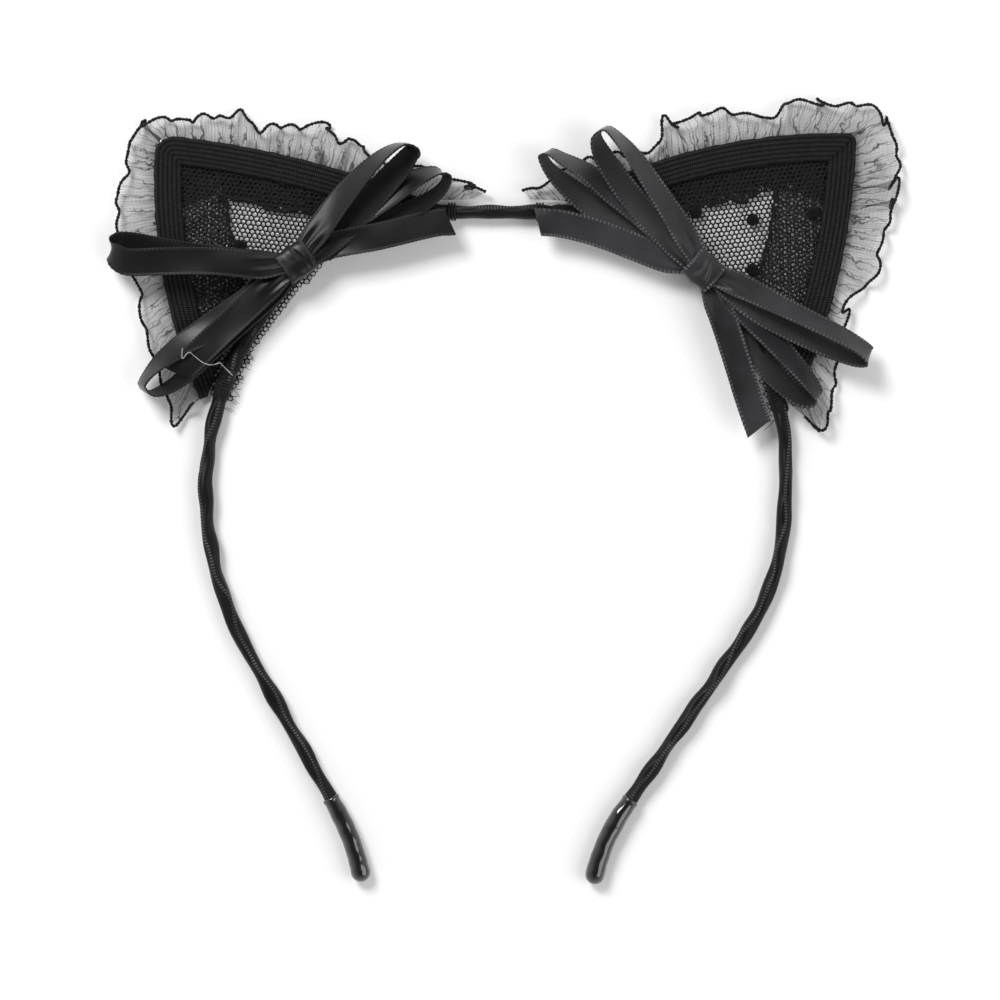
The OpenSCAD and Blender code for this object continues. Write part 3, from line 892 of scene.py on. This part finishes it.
def make_frays(side):
    """Cut ends of net threads along the raw edge near the lower foot."""
    pick = np.random.default_rng(170 + side)
    line = CROWN[side]
    at = np.linspace(0.8, 0.985, 26) if side == LEFT else np.linspace(0.93, 1.0, 12)
    starts, ends = [], []
    for share in at + pick.normal(0, 0.004, len(at)):
        x, y, h = line[min(int(share * len(line)), len(line) - 1)]
        into = np.array([math.sin(h + pick.normal(0, 0.5)), -math.cos(h + pick.normal(0, 0.5))])
        reach = pick.uniform(3.2, 4.9)
        starts.append([*to_frame(side, np.array([x, y]) + into * 1.8), 1.3])
        ends.append([*to_frame(side, np.array([x, y]) + into * reach), pick.uniform(0.2, 1.6)])
    hairs(f"{SIDES[side]}_net_frays", starts, ends, 0.25, 0.075, NET, 172 + side, "crown")


LOOSE_THREAD = [[75, -33], [75, -35.5], [73.5, -34], [72, -35], [70, -36.5], [68, -37], [66, -36.5],
                [65.5, -37], [63, -39.5]]


def make_loose_thread():
    """A stray end of pale thread lying over the left tail."""
    path = spaced(catmull(lift(to_frame(LEFT, LOOSE_THREAD), 8.6), 8), 0.25)
    s = lengths(path)
    obj = grid_piece("left_loose_thread", tube_points(path, np.full((len(path), 1), 0.1), 8), PALE_THREAD,
                     np.arange(9) * 0.1, s, "left_ear", close_m=True)


def make_facing(side):
    """Gathered net inside the braid, with a second layer close to the braid, and its rolled free edge."""
    outline = ear_polygon(side, EAR_INSET)
    window = catmull(WINDOW[side] + WINDOW[side][:1], 6)
    line = CROWN[side][:, :2]
    pucker = wobble(71 + side, 4.5)
    ripple = wobble(73 + side, 2.2)

    def clear(p):
        return inside(p, outline) & ~inside(p, window) & (from_line(p, line)[0] > BAND_R + 2.2)

    def doubled(p):
        reach = BRAID_W + 6.2 + 1.8 * pucker(p[:, 0], p[:, 1])
        from_apex = np.linalg.norm(p - np.array(APEX[side]), axis=1)
        return clear(p) & ((-from_line(p, TOP_LEG[side])[0] < reach) | (from_apex < BRAID_W + 12))

    name = SIDES[side]
    made = []
    layers = (("facing", clear, 1.05, 0.28, 0.55, 0.72, 81, 0.13),
              ("facing_gather", doubled, 0.9, 0.56, -0.3, 0.42, 85, 0.24))
    for label, keep, pitch, filled, turn, level, seed, jitter in layers:

        def height(p, level=level):
            return level + 0.1 * pucker(p[:, 0], p[:, 1]) + 0.05 * ripple(p[:, 0], p[:, 1])
        verts, faces, area = hexagons(side, keep, pitch, filled * pitch, turn, (0.3, 0.4), height, seed,
                                      jitter)
        obj = make_piece(f"{name}_{label}", verts, faces, NET, np.zeros((faces.size, 2)), f"{name}_ear")
        made.append((obj, area))
    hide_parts(f"{name}_net_facing")

    edge = spaced(catmull(WINDOW[side][:FREE_EDGE_POINTS], 8), 0.25)
    s = lengths(edge)
    edge = edge + 0.22 * np.stack([wobble(91 + side, 3)(s), wobble(93 + side, 3)(s)], -1)
    path = lift(to_frame(side, edge), 1.2)
    a = np.arange(10) * TAU / 10
    r = 0.42 + 0.1 * wobble(95 + side, 2)(s)[:, None] + 0.06 * np.cos(3 * a[None] + TAU * s[:, None] / 1.1)
    hem = grid_piece(f"{name}_facing_hem", tube_points(path, r, 10), NET, np.arange(11) * 0.25, s,
                     f"{name}_ear", close_m=True)
    return made, hem


# Middles of the flocked dots
DOTS = [[[61.7, -8.2], [51.3, 7.8]], [[47.8, -0.1], [61.4, -1.8], [61.4, -13.8], [75.9, -0.3]]]


def make_dots(side):
    """Flocked dots: low domes with a ragged, hairy rim."""
    rings, spokes = 9, 44
    a = np.arange(spokes) * TAU / spokes
    share = np.linspace(0.02, 1, rings)[:, None]
    grids = []
    for k, dot in enumerate(DOTS[side]):
        pick = np.random.default_rng(100 + 10 * side + k)
        rag = 1 + 0.07 * pick.standard_normal(spokes)
        r = 1.5 * share * np.where(share > 0.8, rag[None], 1)
        dome = 0.6 * np.sqrt(np.maximum(1 - share ** 2.4, 0))
        z = 1.45 + dome + 0.05 * pick.standard_normal((rings, spokes))
        top = lift(to_frame(side, np.array(dot) + ring(r, a)), z)
        grids.append(np.concatenate([top, top[::-1] * [1, 1, 0] + [0, 0, 1.22]]))
    verts, faces, uv = joined(grids, 0.2, 0.2)
    obj = make_piece(f"{SIDES[side]}_dots", verts, faces[:, ::-1] if side == RIGHT else faces, FLOCK, uv,
                     f"{SIDES[side]}_ear")
    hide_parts(f"{SIDES[side]}_net_dots")


# ---------------------------------------------------------------- ruffle

# The ruffle's outer line from the lower foot round the apex; its lobes come from the pleats
RUFFLE_LINE = [[
    [73, -46], [77.5, -51], [79, -45], [84.5, -28.5], [86, -19], [90.5, -6], [91, 3], [88.5, 12],
    [87, 19.5], [81, 22.5], [74.5, 21.5], [70.5, 23.5], [65.5, 22], [61.5, 24.5], [57.5, 19.5], [53, 20.5],
    [40, 20], [37.5, 16.5], [34, 17.5], [29.5, 13], [14, 9], [3, 4.5]
], [
    [73.5, -49], [78.5, -52.5], [80.5, -44], [83, -27], [85, -20.5], [90.5, -16], [92, -9], [95.5, 5],
    [96, 14], [93, 22.5], [88, 25.5], [79, 26], [70, 26.5], [66, 22.5], [57, 24], [51, 24], [43, 21],
    [40, 22.5], [39, 16.5], [34, 14], [21, 12.5], [11, 6.5], [6, 5]
]]
# How many pleats each ruffle has
PLEATS = [26, 25]


def make_ruffle(side):
    """A gathered strip of organza. Its inner edge follows the braid, and its pleats grow outward."""
    name = SIDES[side]
    outer = spaced(catmull(RUFFLE_LINE[side], 12), 0.4)
    inner = np.vstack([TOP_LEG[side], LOW_LEG[side][1:]])[::-1]
    inner = spaced(beside(inner, 1.6), 0.4)
    so, si = lengths(outer) / lengths(outer)[-1], lengths(inner) / lengths(inner)[-1]
    # The apex of the braid sits at the same share of both edges
    apex_in = si[np.argmin(((inner - np.array(APEX[side])) ** 2).sum(1))]
    apex_out = so[np.argmin(((outer - (np.array(APEX[side]) + [4.5, 4.5])) ** 2).sum(1))]
    count, rows = 1500, 26
    q = np.linspace(0, 1, count)
    pick = np.random.default_rng(120 + side)
    n = PLEATS[side]
    knots = np.cumsum(pick.uniform(0.55, 1.45, n))
    knots = np.concatenate([[0], knots / knots[-1]])
    phase = np.interp(q, knots, np.arange(n + 1)) * TAU
    depth = np.interp(q, knots, pick.uniform(0.4, 1.2, n + 1))
    # Some pleats fold right over and the others only swell
    laps = np.where(pick.uniform(0, 1, n) < 0.28, pick.uniform(0.3, 0.4, n), pick.uniform(0.03, 0.11, n))
    which = np.minimum((phase / TAU).astype(int), n - 1)
    fold = laps[which] / n
    grow = np.linspace(0, 1, rows)[:, None]
    lean = wobble(123 + side, 0.35)(q) * 0.5 / n
    puckers = np.sin(phase * 4.3 + 2 * wobble(125 + side, 0.1)(q))
    q_in = np.clip(q + 0.0025 * np.sin(phase * 4.3), 0, 1)
    q_out = q[None] + fold[None] * np.sin(phase)[None] * grow ** 0.7 + lean[None] * grow * (1 - grow)
    a = places(inner, si, q_in)
    warp = np.interp(np.clip(q_out, 0, 1), [0, apex_in, 1], [0, apex_out, 1])
    b = places(outer, so, warp)
    flat = a[None] + (b - a[None]) * grow[..., None]
    # The layers of a folded pleat step in and out, so its edge makes a Z rather than a lump
    step = 0.55 * (laps[which] > 0.2) * np.sin(phase)
    reach = wobble(127 + side, 0.045)(q)[None] * 0.5 * grow + step[None] * grow ** 2
    flat = flat + unit(b - a[None]) * reach[..., None]
    # Its ends stay outside the band, which it would cut through when the ear tilts
    line = CROWN[side][:, :2]
    gap, at = from_line(flat.reshape(-1, 2), line)
    heading = np.interp(at, lengths(line), CROWN[side][:, 2])
    push = np.maximum(BAND_CLEAR - gap, 0)[:, None]
    flat = flat + (push * np.stack([-np.sin(heading), np.cos(heading)], -1)).reshape(flat.shape)
    swing = 0.75 * depth[None] * np.cos(phase + 0.4)[None] + 0.2 * np.cos(phase * 2.1)[None]
    rise = swing * grow ** 0.8 * 1.7
    # Tight gathers at the braid take up the length that lies free at the edge
    fine = 0.42 * puckers[None] * (1 - grow) ** 1.2
    z = 1.05 + 1.25 * grow + rise + fine
    z = np.maximum(z, 0.32 + 0.12 * np.cos(phase)[None] ** 2)
    points = lift(to_frame(side, flat), z)
    cloth_s = lengths(points[-1])
    u = grow[:, 0] * 9.0
    obj = grid_piece(f"{name}_organza", points.transpose(1, 0, 2), ORGANZA, u, cloth_s, f"{name}_ear",
                     flip=side == RIGHT)
    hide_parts(f"{name}_ruffle")

    path = spaced(points[-1], 0.22)
    s = lengths(path)
    ang = np.arange(10) * TAU / 10
    twist = 0.09 * np.cos(2 * ang[None] + TAU * s[:, None] / 0.85)
    lay = 0.34 + twist + 0.05 * wobble(129 + side, 2)(s)[:, None]
    edge = grid_piece(f"{name}_edge_cord", tube_points(path, lay, 10), CORD, np.arange(11) * 0.25, s,
                      f"{name}_ear", close_m=True)
    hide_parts(f"{name}_ruffle_edging")
    # The strip as cut: as long as its ungathered free edge, and as wide as the cloth runs from root to edge,
    # which varies, so its area goes by the mean width and its rectangle by the greatest
    run = np.linalg.norm(np.diff(points, axis=0), axis=2).sum(0)
    length = float(cloth_s[-1]) * MM
    return obj, edge, (float(run.max()) * MM, length), float(run.mean()) * MM * length


# ---------------------------------------------------------------- bows

KNOT_AT = [[48, -12.3], [49.2, -14.2]]
KNOT_TURN, KNOT_Z = [34, -41], 6.65
# How far the cut ends of the tails slant to each side
SLANT = [-1.1, 1.1]
# Stations of the bow ribbons: x and y from the knot and z above the table, in mm, then the direction and
# the tilt of the ribbon's width, in degrees
RIBBONS = [{
    "upper": [
        [0.5, 0.2, 7.9, 112, 0], [-4, -0.6, 8.0, 98, 0], [-8.5, -1, 8.4, 92, 0], [-19.5, 0, 9.2, 92, 2],
        [-31.5, 0, 9, 88, 6], [-40.5, 0, 7.6, 80, 14], [-44, 3, 6.4, 80, 30], [-41, 4.5, 5.6, 84, 34],
        [-31.5, 2.5, 5.2, 90, 14], [-18.5, 0.5, 5.8, 90, 4], [-7, -0.5, 6.9, 96, 0], [0.5, 0, 7.25, 114, 0],
        [6, 3.4, 6.9, 126, -4], [11.5, 8, 6.6, 134, -8], [17, 14, 6.5, 138, -12], [22, 19.6, 6.6, 140, -20],
        [26.2, 24.2, 7, 146, -38], [28.2, 26.8, 8.2, 160, -62], [25.5, 28, 9.4, 158, -70],
        [21.4, 25.8, 9.8, 142, -62], [16.6, 21.4, 9.8, 140, -48], [11.3, 15.4, 9.4, 141, -32],
        [4.6, 6.4, 8.6, 138, -14], [0, 0.5, 7.95, 120, 0]],
    "lower": [
        [0.5, 0.3, 5.75, 120, 0], [-4, -2.8, 5.9, 128, 0], [-8.5, -7, 6.0, 132, 0],
        [-18.5, -14.2, 6.0, 132, -6], [-28, -20.5, 6.4, 134, -34], [-34.3, -25.6, 6.6, 138, -60],
        [-37, -29.6, 5.8, 165, -70], [-33.8, -31.4, 5, 142, -66], [-26.8, -27.2, 4.8, 136, -52],
        [-14.4, -15, 4.7, 134, -30], [-6, -6.8, 4.8, 132, -8], [0, -0.5, 5.1, 124, 0],
        [9, 4.5, 4.9, 116, -4], [17.5, 8, 4.9, 118, -14], [24.7, 11.2, 5, 120, -34],
        [30.5, 14, 5.2, 124, -50], [34.6, 17.2, 5.6, 135, -62], [36, 20.2, 6.2, 170, -70],
        [33.5, 21.6, 6.6, 120, -64], [28.3, 19.9, 6.6, 122, -44], [22, 16, 6.5, 124, -20],
        [12, 9.5, 6.2, 126, -6], [4, 3, 5.85, 122, 0], [0, 0.2, 5.75, 120, 0]],
    "tails": [
        [-28.3, -26.8, 6.9, 134, 8], [-25.5, -24, 7.2, 134, 4], [-15, -14, 7.3, 135, 0],
        [-5.5, -5, 6.6, 130, 0], [0, -0.5, 6.4, 118, 0], [6.5, 3.5, 6.6, 106, 0], [19.5, 6, 7.4, 102, 0],
        [32, 9, 7.2, 102, 0], [36.8, 9.6, 6.8, 102, 0]]
}, {
    "upper": [
        [0, 0, 7.9, -132, 0], [4, -1.8, 8.1, -122, 8], [9, -4, 8.5, -118, 22], [20, -9.5, 9.2, -116, 42],
        [30.5, -14.5, 9.4, -118, 48], [38, -19, 8.6, -116, 52], [39.5, -21, 7, -112, 46],
        [35.5, -20.5, 5.8, -116, 40], [25.5, -16, 5.7, -118, 26], [14, -10, 6.1, -120, 10],
        [5, -3, 6.9, -126, 0], [-0.5, 0, 7.25, -138, 0], [-7, 6.5, 6.8, -144, 8],
        [-12.8, 12.4, 6.6, -146, 14], [-18.8, 19.6, 6.6, -146, 22], [-23.4, 26.4, 7, -146, 40],
        [-25.6, 31.6, 8, -140, 62], [-23, 33.6, 9.2, -136, 70], [-19.4, 30.2, 9.8, -146, 60],
        [-14.4, 23.6, 9.8, -147, 46], [-8.6, 14.8, 9.2, -147, 34], [-3, 6, 8.3, -142, 14],
        [0, 0.8, 7.95, -134, 0]],
    "lower": [
        [1, 0, 5.75, -132, 0], [4, -3.5, 5.9, -134, 6], [8.5, -8, 6.0, -136, 16], [18, -18, 6.6, -134, 34],
        [25, -26, 6.8, -130, 50], [27.5, -30.5, 6.2, -122, 58], [23.5, -30.5, 5.0, -130, 44],
        [16.5, -24, 4.6, -136, 26], [7.5, -12, 4.7, -136, 8], [0, 0, 5.1, -134, 0], [-9, 5.2, 4.9, -132, 2],
        [-18.5, 10.3, 4.9, -132, 8], [-26.9, 15.8, 5.1, -134, 22], [-32.8, 20.4, 5.4, -136, 42],
        [-36.6, 24.2, 5.8, -142, 60], [-38.2, 27.2, 6.4, -160, 70], [-36.4, 28.2, 7, -126, 68],
        [-33.5, 26.6, 7.2, -126, 60], [-28, 23.4, 7.1, -128, 46], [-22, 18.8, 6.8, -130, 28],
        [-13, 12, 6.4, -132, 12], [-4, 3, 5.9, -132, 0], [0, 0, 5.75, -132, 0]],
    "tails": [
        [-39.5, 11.5, 6.2, -106, 6], [-34, 11, 6.2, -104, 0], [-27.5, 9.5, 6.2, -108, 0],
        [-21.5, 7.5, 6.3, -112, 0], [-10, 3, 6.4, -112, 0], [-0.5, 0, 6.4, -130, 0],
        [4, -9.5, 6.8, -158, 0], [8, -21.5, 7, -161, 0], [11, -31, 6.4, -161, 0], [13.5, -38, 5.6, -161, 0]]
}]
RIBBON_NODES = {"upper": "bow_upper_loops", "lower": "bow_lower_loops", "tails": "bow_tails"}


def make_ribbon(side, key):
    """One length of satin ribbon through its stations, beaded at both edges and creased at the knot."""
    path = spaced(catmull(RIBBONS[side][key], 14), 0.16)
    s = lengths(path[:, :3])
    turn, tilt = np.radians(path[:, 3]), np.radians(path[:, 4])
    across = np.stack([np.cos(turn) * np.cos(tilt), np.sin(turn) * np.cos(tilt), np.sin(tilt)], -1)
    along = tangents(path[:, :3])
    across = unit(across - (across * along).sum(-1, keepdims=True) * along)
    up = np.cross(along, across)
    from_knot = np.linalg.norm(path[:, :2], axis=1)
    spread = 0.8 + 0.2 * smooth_step((from_knot - 3.2) / 6)
    t = np.linspace(-1, 1, 27)
    edge = smooth_step((np.abs(t) - 0.84) / 0.08)
    beads = 0.5 + 0.5 * np.cos(TAU * s / BEAD_PITCH)
    half = RIBBON_W / 2 * spread[:, None] + 0.07 * beads[:, None] * edge[None]
    pinched = (1 - smooth_step((from_knot - 3) / 11))[:, None]
    crease = pinched * 0.22 * np.cos(t[None] * 7 + wobble(140 + side, 30)(s)[:, None])
    cup = 0.22 * wobble(141 + 3 * side + len(key), 26)(s)[:, None] * (t[None] ** 2 - 0.4)
    thick = 0.13 + (0.05 + 0.07 * beads[:, None]) * edge[None]
    top = np.stack([half * t[None], crease + cup + thick], -1)
    bottom = np.stack([half * t[None], crease + cup - thick], -1)
    origin = np.array([*to_frame(side, KNOT_AT[side]), 0])
    points = sweep(path[:, :3] + origin, across, up, closed(top, bottom))
    if key == "tails":
        # Both ends are cut on the slant
        both = np.concatenate([t, t[::-1]])
        lean = 1 - smooth_step(np.minimum(s, s[-1] - s) / 6)
        slant = SLANT[side] * lean[:, None] * both[None]
        points = points + along[:, None, :] * slant[..., None]
    across_mm = (t + 1) / 2 * RIBBON_W
    # The smooth face is the one that shows where the ribbon leaves the knot
    u = two_faced(across_mm, *((0, BACK) if up[0, 2] > 0 else (BACK, 0)))
    obj = grid_piece(f"{SIDES[side]}_ribbon_{key}", points, SATIN[side], u, s, f"{SIDES[side]}_ear",
                     close_m=True, ends=True)
    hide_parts(f"{SIDES[side]}_{RIBBON_NODES[key]}")


def make_knot(side):
    """The short ribbon wrapped round the middle of the bow, with folds where it turns."""
    turn = math.radians(KNOT_TURN[side])
    axis = np.array([math.cos(turn), math.sin(turn), 0])
    cross = np.array([-math.sin(turn), math.cos(turn), 0])
    up = np.array([0, 0, 1.0])
    count, wide = 150, 33
    a = np.arange(count) * TAU / count
    w, h, p = 3.75, 2.15, 3.4
    c, s = np.cos(a), np.sin(a)
    r = (np.abs(c / w) ** p + np.abs(s / h) ** p) ** (-1 / p)
    t = np.linspace(-1, 1, wide)
    length = 3.85
    fold = wobble(150 + side, 2.4)(t[None] * 2.2, 0.5 * np.sin(a)[:, None]) * 0.1
    crease = 0.22 * np.exp(-((t[None] - 0.35 + 0.25 * c[:, None]) / 0.1) ** 2) * smooth_step(s[:, None] * 2)
    edge = smooth_step((np.abs(t) - 0.86) / 0.08)
    beads = 0.5 + 0.5 * np.cos(a * 24)
    swell = 0.16 * (1 - t ** 2)[None] + fold - crease
    skew = 0.35 * s[:, None] * np.ones(wide)[None]
    grids = []
    for lay in (1, -1):
        reach = r[:, None] + swell + lay * (0.17 + 0.05 * beads[:, None] * edge[None])
        along = axis * (t[None, :, None] * length + skew[..., None])
        grids.append(along + cross * (reach * c[:, None])[..., None] + up * (reach * s[:, None])[..., None])
    centre = np.array([*to_frame(side, KNOT_AT[side]), KNOT_Z])
    obj = grid_piece(f"{SIDES[side]}_ribbon_knot", closed(*grids) + centre, SATIN[side],
                     two_faced((t + 1) / 2 * RIBBON_W), np.append(a, TAU) * 3.6, f"{SIDES[side]}_ear",
                     close_n=True, close_m=True)
    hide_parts(f"{SIDES[side]}_bow_knot")


# ---------------------------------------------------------------- stage

FLOOR_HALF, FLOOR_Z = 1500, -0.1


def area_light(name, at, size, power):
    """A rectangular lamp that points at the origin."""
    data = bpy.data.lights.new(name, "AREA")
    data.shape = "RECTANGLE"
    data.size, data.size_y = size
    data.energy = power
    obj = link(bpy.data.objects.new(name, data))
    obj.location = at
    obj.rotation_mode = "QUATERNION"
    obj.rotation_quaternion = (-Vector(at)).to_track_quat("-Z", "Y")


def make_stage():
    corners = lift(FLOOR_HALF * np.array([[-1, -1], [1, -1], [1, 1], [-1, 1]]), FLOOR_Z)
    floor = make_piece("floor", corners, np.array([[0, 1, 2, 3]]), paper_floor())
    world = bpy.data.worlds.new("studio")
    world.use_nodes = True
    tree = world.node_tree
    toward = tree.nodes.new("ShaderNodeTexCoord")
    split = tree.nodes.new("ShaderNodeSeparateXYZ")
    ramp = tree.nodes.new("ShaderNodeValToRGB")
    # Pale all round, darker overhead, where the dark camera and ceiling are
    for element, (place, value) in zip(ramp.color_ramp.elements, ((0.35, 0.85), (0.95, 0.12))):
        element.position = place
        element.color = (value, value, value * 1.01, 1)
    tree.links.new(toward.outputs["Generated"], split.inputs[0])
    tree.links.new(split.outputs["Z"], ramp.inputs["Fac"])
    tree.links.new(ramp.outputs["Color"], tree.nodes["Background"].inputs["Color"])
    bpy.context.scene.world = world
    area_light("key", (-0.5, 0.65, 0.9), (0.45, 0.45), 11.0)
    area_light("fill", (0.75, -0.25, 0.8), (0.8, 0.8), 4.5)
    bpy.context.scene.view_settings.view_transform = "Standard"


# ---------------------------------------------------------------- build

for side in (LEFT, RIGHT):
    make_wrap(side)
    make_cap(side)
    make_braid(side, "top")
    make_braid(side, "side")
    net, base, net_area = make_net(side)
    make_sleeve(side)
    make_frays(side)
    if side == LEFT:
        make_loose_thread()
    facing, hem = make_facing(side)
    make_dots(side)
    organza, edging, strip, strip_area = make_ruffle(side)
    for key in RIBBONS[side]:
        make_ribbon(side, key)
    make_knot(side)
    cut_size(net)
    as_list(base)
    for k, (cloth, cloth_area) in enumerate(facing):
        cut_size(cloth)

for node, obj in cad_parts.items():
    if not obj.hide_render:
        material = STEEL if "core" in node or "wire" in node else THREAD
        obj.data.materials.clear()
        obj.data.materials.append(material)

make_stage()
